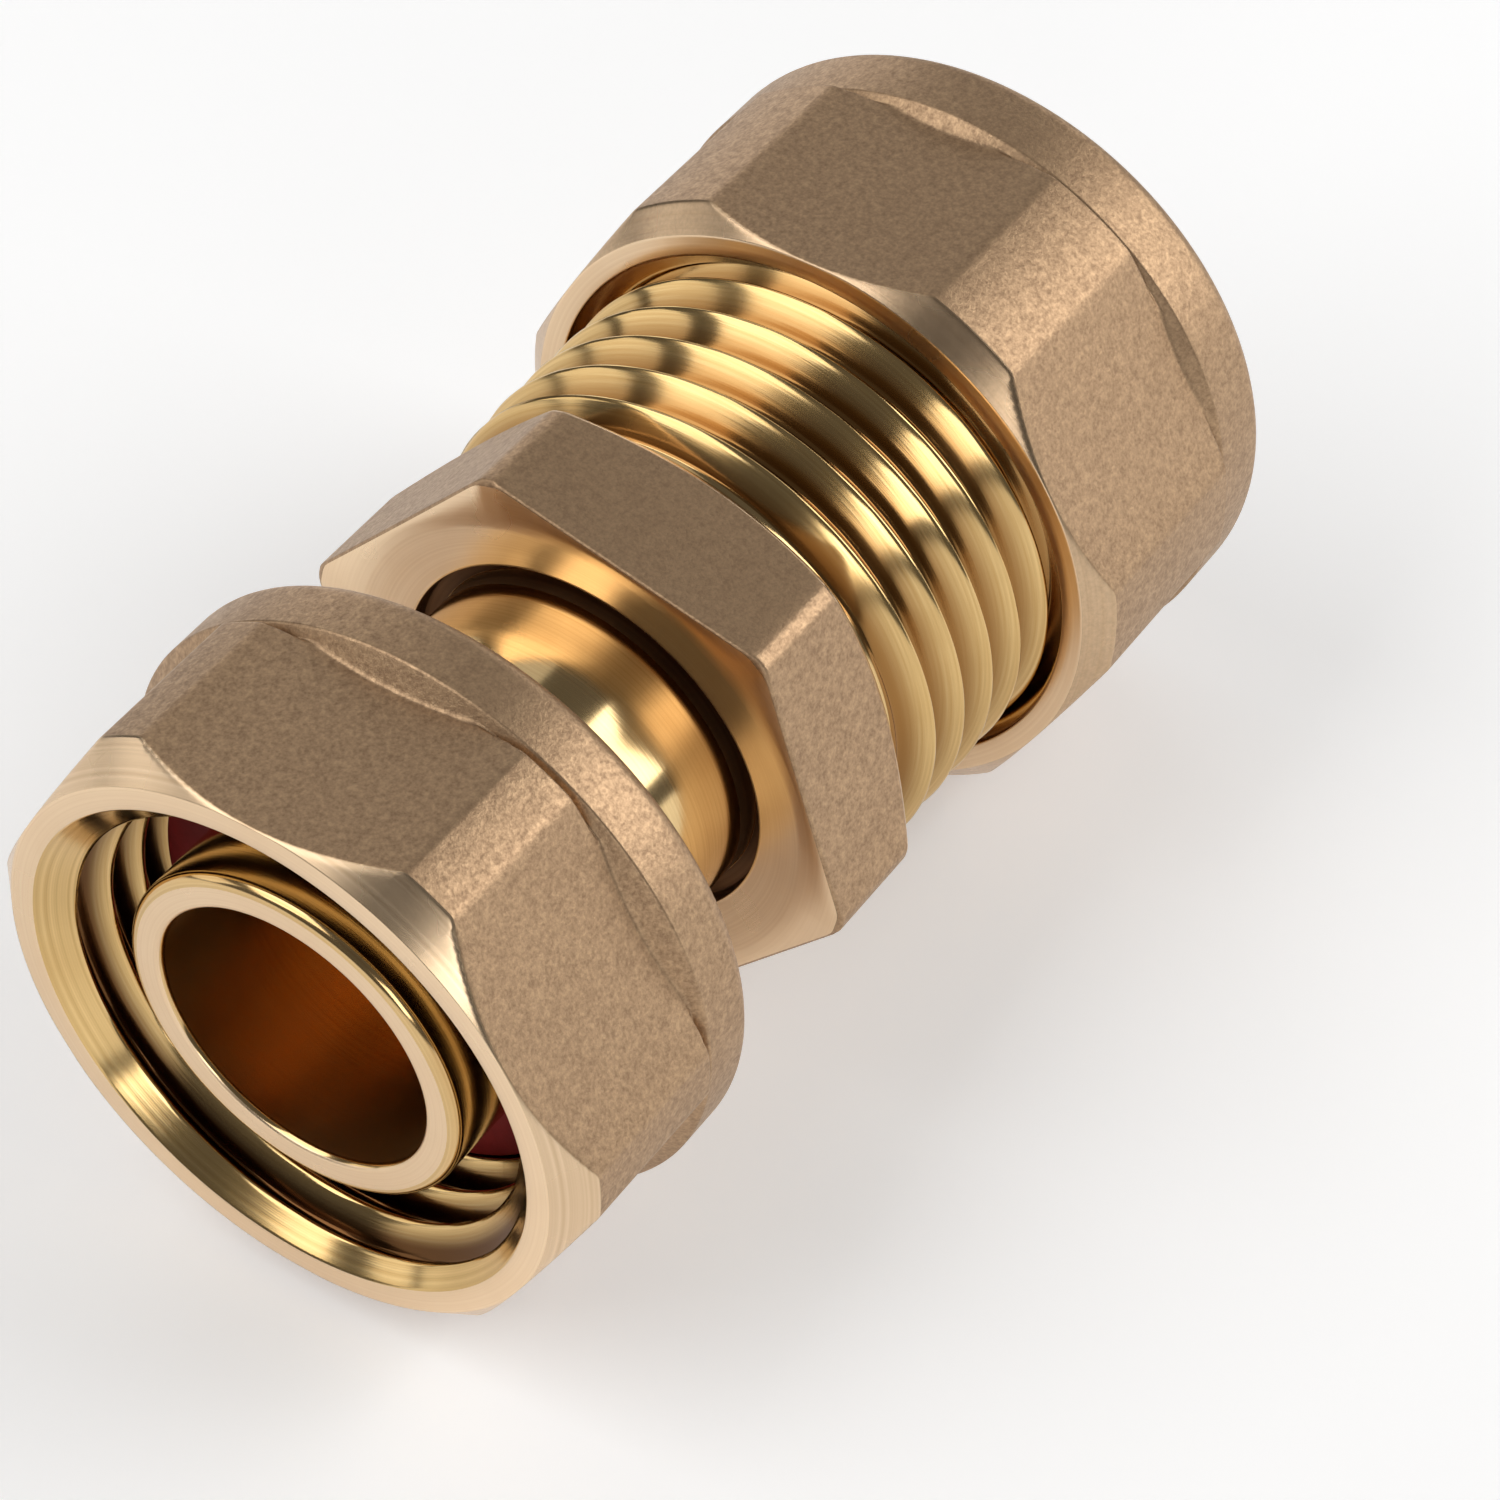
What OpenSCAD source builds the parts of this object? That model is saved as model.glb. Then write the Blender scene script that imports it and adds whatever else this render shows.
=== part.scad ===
// Straight brass coupler: a compression end for plain copper tube and a union end
// with a swivel nut. The centre line is the X axis, +X points out of the
// compression end, and X = 0 is the stop that the tube's end meets.
// All sizes are in millimetres.

/* [Tube and waterway] */
// Outside diameter of the copper tube
tube_d = 15; // [14:0.1:15.8]
// Radial play of the tube in the socket and in the olive
tube_play = 0.1; // [0.05:0.05:0.2]
// Height of the step that stops the tube
stop_h = 1.7; // [1.2:0.1:2.4]
// Depth of the socket, from the body's end to the tube stop
socket_depth = 11.9; // [10:0.1:14]
// Length of the conical mouth that the olive is pressed into
cone_len = 3; // [2:0.1:3.4]
// Half angle of the conical mouth
cone_angle = 30; // [26:1:32]

/* [Body hexagon] */
// Wall between the tube socket and the hexagon's flats
hex_wall = 3.05; // [2.8:0.05:4.5]
// Length of the hexagon
hex_len = 5.5; // [5:0.1:9]
// Distance from the tube stop back to the hexagon
stop_offset = 0.8; // [0.2:0.1:1.5]
// Turn of the hexagon about the centre line
hex_turn = 13; // [0:1:30]
// Bevel along the hexagon's corners
hex_corner_bevel = 0.2; // [0.1:0.05:0.5]
// Angle of the chamfer behind the hexagon, from its back face
hex_back_chamfer = 30; // [15:1:40]
// Width of the land round the dish in the front face, at the flats
dish_land = 0.65; // [0.4:0.05:1.2]
// Depth of the dish
dish_depth = 0.4; // [0.1:0.05:0.8]

/* [Compression thread] */
// Wall between the tube socket and the male thread's crests
thread_wall = 3.5; // [3.3:0.05:4.2]
// Pitch of the right-hand thread
thread_pitch = 2; // [1.5:0.1:2.2]
// Depth of the thread
thread_depth = 1.1; // [0.6:0.1:1.3]
// Place of a crest on the +Y side, from the tube stop
thread_crest_x = 0.2; // [0:0.1:2]
// Width of the plain groove between the hexagon and the thread
runout_w = 0.7; // [0.4:0.1:1.4]
// Chamfer at the thread's start
thread_chamfer = 1; // [0.4:0.1:1.5]
// Radial play between the male thread and the nut
thread_play = 0.08; // [0.04:0.01:0.1]

/* [Compression nut] */
// Wall between the nut's thread and its flats
nut_wall = 1.47; // [1.2:0.01:2.6]
// Height of the turned corners above the flats
nut_corner_rise = 0.95; // [0.4:0.05:1.6]
// Height of the round collar at the outer end above the flats
nut_collar_rise = 0.5; // [0.2:0.05:1.2]
// Length of the collar, from the end of the flats to the outer face
nut_collar_len = 3.5; // [2.6:0.1:5]
// Gap between the body's hexagon and the nut, as it is screwed on
nut_gap = 9.9; // [5:0.1:11]
// Depth of the threaded bore
nut_thread_depth = 8.4; // [7.5:0.1:9.5]
// Length of the tube hole behind the seat
nut_hole_len = 1.07; // [0.9:0.01:3]
// Width of the chamfer at the nut's mouth
nut_mouth_chamfer = 0.6; // [0.2:0.1:0.8]
// Radial play of the tube in the nut's hole
nut_hole_play = 0.15; // [0.1:0.05:0.3]

/* [Olive] */
// Wall of the olive at its plain middle
olive_wall = 1.15; // [0.9:0.05:1.3]
// Wall of the olive at its two ends
olive_end_wall = 0.35; // [0.2:0.05:0.5]
// Length of the plain middle
olive_mid_len = 1.7; // [0.8:0.1:2.4]
// Length of each of its two tapers
olive_taper_len = 1.9; // [1.5:0.1:2.2]
// Clearance between the olive and its seat in the nut
olive_clearance = 0.15; // [0.1:0.05:0.4]

/* [Tail] */
// Wall of the tail
tail_wall = 1.45; // [1.2:0.05:1.7]
// Length of the neck, from the body's face to the flange
neck_len = 9; // [7:0.1:14]
// Thickness of the flange that holds the swivel nut
flange_w = 1.9; // [1.2:0.1:2.6]
// Radial clearance of the flange inside the swivel nut's thread crests
flange_clearance = 0.32; // [0.1:0.02:0.5]
// Distance from the swivel nut's mouth back to the spigot's end
spigot_recess = 0.9; // [0.2:0.1:2.5]
// Bevel on the tail's ends
tail_bevel = 0.3; // [0.1:0.05:0.5]
// Depth of the hole that the tail is pressed into
tail_seat_depth = 4; // [3:0.1:4.5]
// Radial interference of that press fit
tail_press = 0.02; // [0.01:0.01:0.04]
// Width of the open groove round the tail at the body's face
neck_groove_w = 0.68; // [0.4:0.02:1]
// Depth of that groove
neck_groove_depth = 1.2; // [0.5:0.1:1.6]

/* [Swivel nut] */
// Outside diameter of the inside thread
swivel_thread_d = 20.96; // [20.4:0.02:22]
// Pitch of the inside thread
swivel_pitch = 1.814; // [1.337:0.001:2.309]
// Depth of the inside thread
swivel_thread_depth = 1.16; // [1:0.02:1.3]
// Width of the relief groove between the inside thread and the back wall
swivel_relief_w = 0.9; // [0.5:0.1:2]
// Depth of that groove below the thread's root
swivel_relief_depth = 0.15; // [0.1:0.05:0.3]
// Wall between the thread and the flats
swivel_flat_wall = 1.32; // [1.1:0.02:2.2]
// Height of the turned corners above the flats
swivel_corner_rise = 1.25; // [0.4:0.05:1.6]
// Height of the round collar at the back above the flats
swivel_collar_rise = 0.95; // [0.2:0.05:1.2]
// Length of the collar, from the end of the flats to the back face
swivel_collar_len = 3; // [2.2:0.1:4.5]
// Depth of the bore, from the mouth to the back wall
swivel_depth = 9.3; // [8.4:0.1:12]
// Width of the mouth's chamfer outside the thread
swivel_mouth_chamfer = 0.38; // [0.2:0.02:0.6]
// Angle of that chamfer, from the centre line
swivel_mouth_angle = 45; // [35:1:60]
// Thickness of the back wall that bears on the flange
swivel_back_wall = 1.7; // [1.2:0.1:2.4]
// Radial play between that wall and the neck
swivel_play = 0.1; // [0.06:0.01:0.1]
// Gap between that wall and the flange
swivel_gap = 0.2; // [0.1:0.05:0.5]

/* [Washer] */
// Thickness of the washer
washer_t = 1.6; // [1:0.1:2.4]
// Radial clearance of the washer inside the swivel nut's thread crests
washer_clearance = 0.07; // [0.05:0.01:0.3]
// Radial play of the washer on the spigot
washer_play = 0.15; // [0.05:0.05:0.3]

/* [Edges] */
// Angle of the chamfer on the nuts' front corners, from the front face
nut_chamfer = 45; // [30:1:50]
// Rounding of the collars' outer edges
collar_round = 0.8; // [0.3:0.1:1.2]
// Length of the slope between flats and collar
shoulder_len = 0.8; // [0.4:0.1:1.2]
// Drop of that slope's foot below the flats
shoulder_drop = 0.2; // [0.1:0.05:0.4]
// Chamfer of the plain holes' edges
hole_chamfer = 0.4; // [0.1:0.1:0.6]
// Smoothness of round faces
$fn = 96; // [48:8:160]

/* [Hidden] */
eps = 0.01;
cut = 1;

// Angle between the points of a thread's section, and between its layers
thread_step = 15;
// Half of the turn that the flat on a crest takes, and the flat in a root
thread_flat = 15;
// How far the cut of an inside thread reaches under its crests
thread_overcut = 0.15;

// Radii of the body, the nut and the olive, from the tube outwards
tube_r = tube_d / 2;
socket_r = tube_r + tube_play;
waterway_r = tube_r - stop_h;
cone_r = socket_r + cone_len * tan(cone_angle);
hex_face_r = socket_r + hex_wall;
dish_r = hex_face_r - dish_land;
thread_r = socket_r + thread_wall;
root_r = thread_r - thread_depth;
nut_bore_r = thread_r + thread_play;
nut_face_r = nut_bore_r + nut_wall;
nut_hole_r = tube_r + nut_hole_play;
olive_r = socket_r + olive_wall;
olive_end_r = socket_r + olive_end_wall;

// Radii of the union end
tail_r = waterway_r + tail_wall;
tail_seat_r = tail_r - tail_press;
neck_groove_r = tail_r + neck_groove_w;
swivel_bore_r = swivel_thread_d / 2;
swivel_crest_r = swivel_bore_r - swivel_thread_depth;
swivel_face_r = swivel_bore_r + swivel_flat_wall;
swivel_hole_r = tail_r + swivel_play;
flange_r = swivel_crest_r - flange_clearance;
washer_r = swivel_crest_r - washer_clearance;
washer_bore_r = tail_r + washer_play;

// Places along the centre line, from the compression end to the union end
body_end = socket_depth;
hex_back = -stop_offset;
hex_front = hex_back - hex_len;
tail_end = hex_front + tail_seat_depth;
flange_back = hex_front - neck_len;
flange_front = flange_back - flange_w;
washer_front = flange_front - washer_t;
swivel_shoulder = flange_back + swivel_gap;
swivel_back = swivel_shoulder + swivel_back_wall;
swivel_front = swivel_shoulder - swivel_depth;
spigot_end = swivel_front + spigot_recess;

// Places in the compression nut, whose seat is a 45 degree cone
seat_angle = 45;
nut_front = hex_back + nut_gap;
seat_start = nut_front + nut_thread_depth;
seat_end = seat_start + (nut_bore_r - nut_hole_r) / tan(seat_angle);
nut_back = seat_end + nut_hole_len;
olive_back = seat_start + (nut_bore_r - olive_end_r) / tan(seat_angle)
    - olive_clearance / sin(seat_angle);
olive_mid_end = olive_back - olive_taper_len;
olive_mid_start = olive_mid_end - olive_mid_len;
olive_front = olive_mid_start - olive_taper_len;

brass = [0.74, 0.58, 0.40];
bright_brass = [0.86, 0.70, 0.45];
fibre_red = [0.65, 0.12, 0.10];

// A solid of revolution about the X axis, from points of [radius, x].
module turned(points) {
    rotate([0, 90, 0])
        rotate_extrude()
            polygon(points);
}

// A hexagonal bar along the X axis with one pair of flats level.
module hex_bar(face_r, from, to) {
    translate([from, 0, 0])
        rotate([0, 90, 0])
            rotate([0, 0, 30])
                linear_extrude(height = to - from)
                    circle(r = face_r / cos(30), $fn = 6);
}

// A right-hand screw along the X axis, with a crest on the +Y side at crest_x.
module screw(low_r, high_r, pitch, crest_x, from, to) {
    length = to - from;
    flank = 180 - 2 * thread_flat;
    function height(a) = min(1, max(0, (180 - abs(a) - thread_flat) / flank));
    function radius(a) = low_r + (high_r - low_r) * height(a);
    translate([from, 0, 0])
        rotate([0, 90, 0])
            rotate([0, 0, 90 + 360 * (from - crest_x) / pitch])
                linear_extrude(
                    height = length,
                    twist = -360 * length / pitch,
                    slices = ceil(360 * length / pitch / thread_step),
                    $fn = 12
                )
                    polygon([
                        for (a = [-180 : thread_step : 180 - thread_step])
                            [radius(a) * cos(a), radius(a) * sin(a)]
                    ]);
}

// Points of a rounded outer edge, from the side of radius r to the face at x.
function outer_edge(r, x, round_r) = [
    for (a = [0 : 15 : 90])
        [r - round_r * (1 - cos(a)), x - round_r * (1 - sin(a))]
];

// The outside of a nut: flats cut on a turned blank, chamfered corners in front,
// and a round collar behind that the flats run out into.
module nut_blank(face_r, corner_rise, collar_rise, front, back, collar_len) {
    turned_r = face_r + corner_rise;
    collar_r = face_r + collar_rise;
    flat_end = back - collar_len;
    chamfer_len = corner_rise * tan(nut_chamfer);
    intersection() {
        hex_bar(face_r, front, flat_end);
        turned([
            [0, front],
            [face_r, front],
            [turned_r, front + chamfer_len],
            [turned_r, flat_end + cut],
            [0, flat_end + cut]
        ]);
    }
    turned(concat(
        [[0, flat_end - shoulder_len / 2]],
        [[face_r - shoulder_drop, flat_end - shoulder_len / 2]],
        [[collar_r, flat_end + shoulder_len / 2]],
        outer_edge(collar_r, back, collar_round),
        [[0, back]]
    ));
}

// Hexagon of the body with bevelled corners, and chamfered corners behind.
module body_hexagon() {
    corner_r = hex_face_r / cos(30) - hex_corner_bevel;
    back_chamfer_len = (corner_r - hex_face_r) * tan(hex_back_chamfer);
    intersection() {
        rotate([hex_turn, 0, 0])
            hex_bar(hex_face_r, hex_front, hex_back);
        turned([
            [0, hex_front],
            [corner_r - hex_corner_bevel, hex_front],
            [corner_r, hex_front + hex_corner_bevel],
            [corner_r, hex_back - back_chamfer_len],
            [hex_face_r, hex_back],
            [0, hex_back]
        ]);
    }
}

// Body: hexagon, male thread, tube socket and the hole for the tail.
module body() {
    groove_bottom = hex_front + neck_groove_depth;
    thread_back = hex_back + runout_w;
    color(brass)
    difference() {
        union() {
            body_hexagon();
            turned([
                [0, hex_back - eps],
                [root_r - eps, hex_back - eps],
                [root_r - eps, thread_back + eps],
                [0, thread_back + eps]
            ]);
            intersection() {
                screw(root_r, thread_r, thread_pitch, thread_crest_x,
                    thread_back, body_end + eps);
                turned([
                    [0, thread_back],
                    [root_r - eps, thread_back],
                    [thread_r + eps, thread_back + thread_depth / 2],
                    [thread_r + eps, body_end - thread_chamfer],
                    [thread_r - thread_chamfer, body_end],
                    [0, body_end]
                ]);
            }
        }
        turned([
            [0, hex_front - cut],
            [dish_r, hex_front - cut],
            [dish_r, hex_front],
            [neck_groove_r, hex_front + dish_depth],
            [neck_groove_r, groove_bottom],
            [tail_seat_r, groove_bottom],
            [tail_seat_r, tail_end],
            [waterway_r, tail_end],
            [waterway_r, 0],
            [socket_r, 0],
            [socket_r, body_end - cone_len],
            [cone_r, body_end],
            [cone_r, body_end + cut],
            [0, body_end + cut]
        ]);
    }
}

// Tail: spigot, flange and neck, pressed into the body as far as its shoulder.
module tail() {
    color(bright_brass)
    turned([
        [waterway_r, spigot_end],
        [tail_r - tail_bevel, spigot_end],
        [tail_r, spigot_end + tail_bevel],
        [tail_r, flange_front],
        [flange_r, flange_front],
        [flange_r, flange_back],
        [tail_r, flange_back],
        [tail_r, tail_end - tail_bevel],
        [tail_r - tail_bevel, tail_end],
        [waterway_r, tail_end]
    ]);
}

// Swivel nut: turns on the neck and bears on the back of the tail's flange.
module swivel_nut() {
    mouth_r = swivel_bore_r + swivel_mouth_chamfer;
    mouth_len = (mouth_r - swivel_crest_r) / tan(swivel_mouth_angle);
    edge_r = swivel_hole_r + hole_chamfer;
    thread_end = swivel_shoulder - swivel_relief_w / 2;
    relief_r = swivel_bore_r + swivel_relief_depth;
    color(brass)
    difference() {
        nut_blank(swivel_face_r, swivel_corner_rise, swivel_collar_rise,
            swivel_front, swivel_back, swivel_collar_len);
        screw(swivel_crest_r - thread_overcut, swivel_bore_r, swivel_pitch,
            swivel_front + swivel_pitch / 2, swivel_front - cut / 2, thread_end);
        turned([
            [0, swivel_front - cut],
            [mouth_r, swivel_front - cut],
            [mouth_r, swivel_front],
            [swivel_crest_r, swivel_front + mouth_len],
            [swivel_crest_r, swivel_shoulder - swivel_relief_w],
            [relief_r, swivel_shoulder - swivel_relief_w],
            [relief_r, swivel_shoulder],
            [swivel_hole_r, swivel_shoulder],
            [swivel_hole_r, swivel_back - hole_chamfer],
            [edge_r, swivel_back],
            [edge_r, swivel_back + cut],
            [0, swivel_back + cut]
        ]);
    }
}

// Washer: lies round the spigot against the front of the flange.
module fibre_washer() {
    color(fibre_red)
    turned([
        [washer_bore_r, washer_front],
        [washer_r, washer_front],
        [washer_r, flange_front],
        [washer_bore_r, flange_front]
    ]);
}

// Compression nut: threaded bore, conical seat for the olive and tube hole.
module compression_nut() {
    mouth_r = nut_bore_r + nut_mouth_chamfer;
    edge_r = nut_hole_r + hole_chamfer;
    color(brass)
    difference() {
        nut_blank(nut_face_r, nut_corner_rise, nut_collar_rise,
            nut_front, nut_back, nut_collar_len);
        turned([
            [0, nut_front - cut],
            [mouth_r, nut_front - cut],
            [mouth_r, nut_front],
            [nut_bore_r, nut_front + nut_mouth_chamfer],
            [nut_bore_r, seat_start],
            [nut_hole_r, seat_end],
            [nut_hole_r, nut_back - hole_chamfer],
            [edge_r, nut_back],
            [edge_r, nut_back + cut],
            [0, nut_back + cut]
        ]);
    }
}

// Olive: a soft ring with a taper at each end.
module olive() {
    color(bright_brass)
    turned([
        [socket_r, olive_front],
        [olive_end_r, olive_front],
        [olive_r, olive_mid_start],
        [olive_r, olive_mid_end],
        [olive_end_r, olive_back],
        [socket_r, olive_back]
    ]);
}

body();
tail();
swivel_nut();
fibre_washer();
compression_nut();
olive();
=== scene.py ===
# %% [markdown]
# # A brass compression coupler
#
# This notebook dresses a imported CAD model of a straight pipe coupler. One end
# clamps a plain copper tube with a nut and an olive, the other end has a loose
# swivel nut that screws on to a tap. Everything is in metres, in the frame of the
# CAD model: the centre line is the X axis, +X leaves the compression end, and Z
# is up. Sizes in the code are in millimetres, because that is how a turner thinks
# of them, and are turned into metres when a mesh is made.

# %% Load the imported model
import math

import bpy
import numpy as np
from mathutils import Matrix, Vector


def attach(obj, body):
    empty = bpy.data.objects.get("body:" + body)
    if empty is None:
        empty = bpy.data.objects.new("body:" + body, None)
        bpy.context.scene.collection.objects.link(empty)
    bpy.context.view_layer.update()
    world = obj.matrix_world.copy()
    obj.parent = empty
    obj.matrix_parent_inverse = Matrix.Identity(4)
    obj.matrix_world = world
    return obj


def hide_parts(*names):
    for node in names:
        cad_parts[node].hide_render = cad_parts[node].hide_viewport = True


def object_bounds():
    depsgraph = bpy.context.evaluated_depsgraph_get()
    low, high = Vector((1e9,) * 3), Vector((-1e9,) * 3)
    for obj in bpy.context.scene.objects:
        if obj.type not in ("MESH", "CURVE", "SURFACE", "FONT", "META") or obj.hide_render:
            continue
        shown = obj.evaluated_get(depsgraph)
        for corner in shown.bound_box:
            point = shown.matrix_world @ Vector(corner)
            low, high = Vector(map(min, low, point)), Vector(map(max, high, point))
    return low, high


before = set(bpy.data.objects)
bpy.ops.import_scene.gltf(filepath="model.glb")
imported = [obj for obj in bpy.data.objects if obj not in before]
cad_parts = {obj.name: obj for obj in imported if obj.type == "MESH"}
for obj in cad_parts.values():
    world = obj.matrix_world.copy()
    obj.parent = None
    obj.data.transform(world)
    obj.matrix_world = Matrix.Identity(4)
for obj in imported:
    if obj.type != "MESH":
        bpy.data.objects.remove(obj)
cad_box = [list(corner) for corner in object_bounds()]
print("CAD nodes:", sorted(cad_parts))

# %% [markdown]
# ## The camera and the stage
#
# The object lies on its side and is seen from above and from the mouth of its
# swivel nut. A camera is often placed by hand, but here the position is given by
# an azimuth, an elevation and a distance from a point on the centre line, because
# those three numbers can be read off the ellipses that round edges make in a
# photograph. A small sideways offset then puts the object where it is in the
# frame.

# %% Camera
IMAGE_PX = 1500
FOCAL_PX = 4637
SENSOR_MM = 36.0
AZIMUTH, ELEVATION = -56.09, 46.09
AIM_MM = Vector((-5.0, 0, 0))
DISTANCE_MM = 172.8
SHIFT_RIGHT_MM, SHIFT_UP_MM = 5.777, -0.879
NEAREST_M = 0.005


def view_axes(azimuth, elevation):
    """The right, up and back directions of a level camera at those angles."""
    a, e = math.radians(azimuth), math.radians(elevation)
    back = Vector((math.sin(a) * math.cos(e), -math.cos(a) * math.cos(e), math.sin(e)))
    right = (-back).cross(Vector((0, 0, 1))).normalized()
    return right, right.cross(-back), back


right, up, back = view_axes(AZIMUTH, ELEVATION)
eye = AIM_MM + back * DISTANCE_MM + right * SHIFT_RIGHT_MM + up * SHIFT_UP_MM
turn = Matrix((right, up, back)).transposed().to_4x4()
camera_data = bpy.data.cameras.new("camera")
camera_data.sensor_width = SENSOR_MM
camera_data.lens = FOCAL_PX / IMAGE_PX * SENSOR_MM
camera_data.clip_start = NEAREST_M
camera = bpy.data.objects.new("camera", camera_data)
camera.matrix_world = Matrix.Translation(eye / 1000) @ turn
bpy.context.scene.collection.objects.link(camera)
bpy.context.scene.camera = camera
print("camera at", [round(v, 1) for v in eye], "mm")

# %% [markdown]
# The lowest points of the coupler are the round collars of its two nuts, so the
# floor lies just under the larger of them. The floor is a large disc with a plain
# pale surface. A disc is enough, because no wall shows in the picture, and a far
# edge would only show up as a line in the metal's reflections.

# %% Floor
FLOOR_RADIUS = 1.6
FLOOR_GAP = 0.00002

floor_z = cad_box[0][2] - FLOOR_GAP
bpy.ops.mesh.primitive_circle_add(
    vertices=96, radius=FLOOR_RADIUS, fill_type="NGON", location=(0, 0, floor_z))
floor = bpy.context.object
floor.name = "floor"
print("floor at", round(floor_z * 1000, 2), "mm")

# %% [markdown]
# ## Lights
#
# Brass shows what surrounds it more than it shows light falling on it. A turned
# cylinder therefore needs a few broad bright shapes with darker gaps between
# them, or it looks like yellow plastic. Lamps that are long in the direction of
# the centre line give bands that run along it.
#
# The key lamp stands behind the compression end on the right, and a weak top lamp
# beside it keeps the two bands on the cylinders apart. The left lamp is on the
# side of the swivel nut, because the thread's flanks lean towards the camera and
# mirror that side only. The low and the front lamp light the chamfers and the
# lower half of the thread. The back and the rim lamp draw bright lines on the
# edges of the nuts. The side of the camera stays dark, and the world adds an
# even, weak grey.
#
# Each lamp is given by its direction from the object, its distance, its length
# along the X axis and across it, and its radiance. A radiance of 1 looks white in
# a mirror, which is easier to judge than a lamp's power in watts.

# %% Lamps and world
LAMPS = {
    "key_lamp": ((0.54, -0.66, 0.52), 0.50, 0.36, 0.38, 3.1),
    "left_lamp": ((-0.56, 0.44, 0.78), 0.52, 0.50, 0.34, 2.3),
    "top_lamp": ((0.38, 0.45, 0.80), 0.52, 0.40, 0.30, 0.5),
    "low_lamp": ((-0.45, 0.87, 0.20), 0.60, 0.30, 0.20, 1.1),
    "front_lamp": ((-0.80, -0.54, 0.27), 0.60, 0.20, 0.19, 3.1),
    "back_lamp": ((0.62, 0.74, 0.20), 0.60, 0.26, 0.30, 1.3),
    "rim_lamp": ((0.93, 0.12, 0.34), 0.70, 0.16, 0.50, 1.6),
}
WORLD_COLOUR, WORLD_STRENGTH = (1.0, 0.98, 0.96, 1), 0.12


def soft_lamp(name, direction, distance, along, across, radiance):
    """A rectangular soft lamp that faces the object, with its side `along` turned to the X axis."""
    toward = Vector(direction).normalized()
    side = (Vector((1, 0, 0)) - toward * toward.x).normalized()
    data = bpy.data.lights.new(name, "AREA")
    data.shape = "RECTANGLE"
    data.size, data.size_y = along, across
    data.energy = radiance * math.pi * along * across
    lamp = bpy.data.objects.new(name, data)
    facing = Matrix((side, toward.cross(side), toward)).transposed().to_4x4()
    lamp.matrix_world = Matrix.Translation(toward * distance) @ facing
    bpy.context.scene.collection.objects.link(lamp)


for lamp_name, placing in LAMPS.items():
    soft_lamp(lamp_name, *placing)

world = bpy.data.worlds.new("studio")
bpy.context.scene.world = world
world.use_nodes = True
world_back = world.node_tree.nodes["Background"]
world_back.inputs["Color"].default_value = WORLD_COLOUR
world_back.inputs["Strength"].default_value = WORLD_STRENGTH
bpy.context.scene.view_settings.view_transform = "Standard"
print("lamps:", ", ".join(LAMPS))

# %% [markdown]
# ## Shader groups
#
# Every brass piece is cut from bar or stamped, then partly turned bright. Four
# effects come back in several materials, so each is a node group with its own
# inputs. Nodes can be added by hand in the shader editor, but a few helpers make
# the same graphs in lines that read like sums. A plain number stays in the socket
# itself, and only a value that changes over the surface is linked.

# %% Helpers for node trees
FLOAT = "NodeSocketFloat"


def new_group(name, inputs, outputs):
    """An empty shader node group with number sockets: inputs with their defaults, and outputs."""
    group = bpy.data.node_groups.new(name, "ShaderNodeTree")
    for label, value in inputs.items():
        socket = group.interface.new_socket(name=label, in_out="INPUT", socket_type=FLOAT)
        socket.default_value = value
    for label in outputs:
        group.interface.new_socket(name=label, in_out="OUTPUT", socket_type=FLOAT)
    return group, group.nodes.new("NodeGroupInput"), group.nodes.new("NodeGroupOutput")


def add(tree, kind, links=None, **settings):
    """A node of that kind with settings, and links from other sockets or values to its inputs."""
    node = tree.nodes.new(kind)
    for key, value in settings.items():
        setattr(node, key, value)
    for key, value in (links or {}).items():
        if isinstance(value, bpy.types.NodeSocket):
            tree.links.new(value, node.inputs[key])
        else:
            node.inputs[key].default_value = value
    return node


def calc(tree, operation, a, b=0.0, c=0.0):
    """The output of one Math node."""
    return add(tree, "ShaderNodeMath", {0: a, 1: b, 2: c}, operation=operation).outputs[0]


def map_range(tree, value, low, high, to_low=0.0, to_high=1.0, kind="LINEAR"):
    """The output of one Map Range node."""
    ends = {"Value": value, 1: low, 2: high, 3: to_low, 4: to_high}
    return add(tree, "ShaderNodeMapRange", ends, interpolation_type=kind).outputs[0]


def blend_colours(tree, factor, a, b):
    """The output of one Mix node for colours."""
    return add(tree, "ShaderNodeMix", {0: factor, 6: a, 7: b}, data_type="RGBA").outputs[2]


def turned_place(tree):
    """Object coordinates, their X, and their distance from the X axis, all in metres."""
    place = add(tree, "ShaderNodeTexCoord").outputs["Object"]
    parts = add(tree, "ShaderNodeSeparateXYZ", {0: place})
    squares = [calc(tree, "POWER", parts.outputs[axis], 2.0) for axis in (1, 2)]
    return place, parts.outputs[0], calc(tree, "SQRT", calc(tree, "ADD", *squares))


print("helpers for node groups are ready")

# %% [markdown]
# The first group is the grain of a shot-blasted skin: fine dents that scatter
# light, with some dents brighter than others. Two sizes of noise are added, so
# that no single size of dent stands out, and a slow cloud lets the tone drift.

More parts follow.
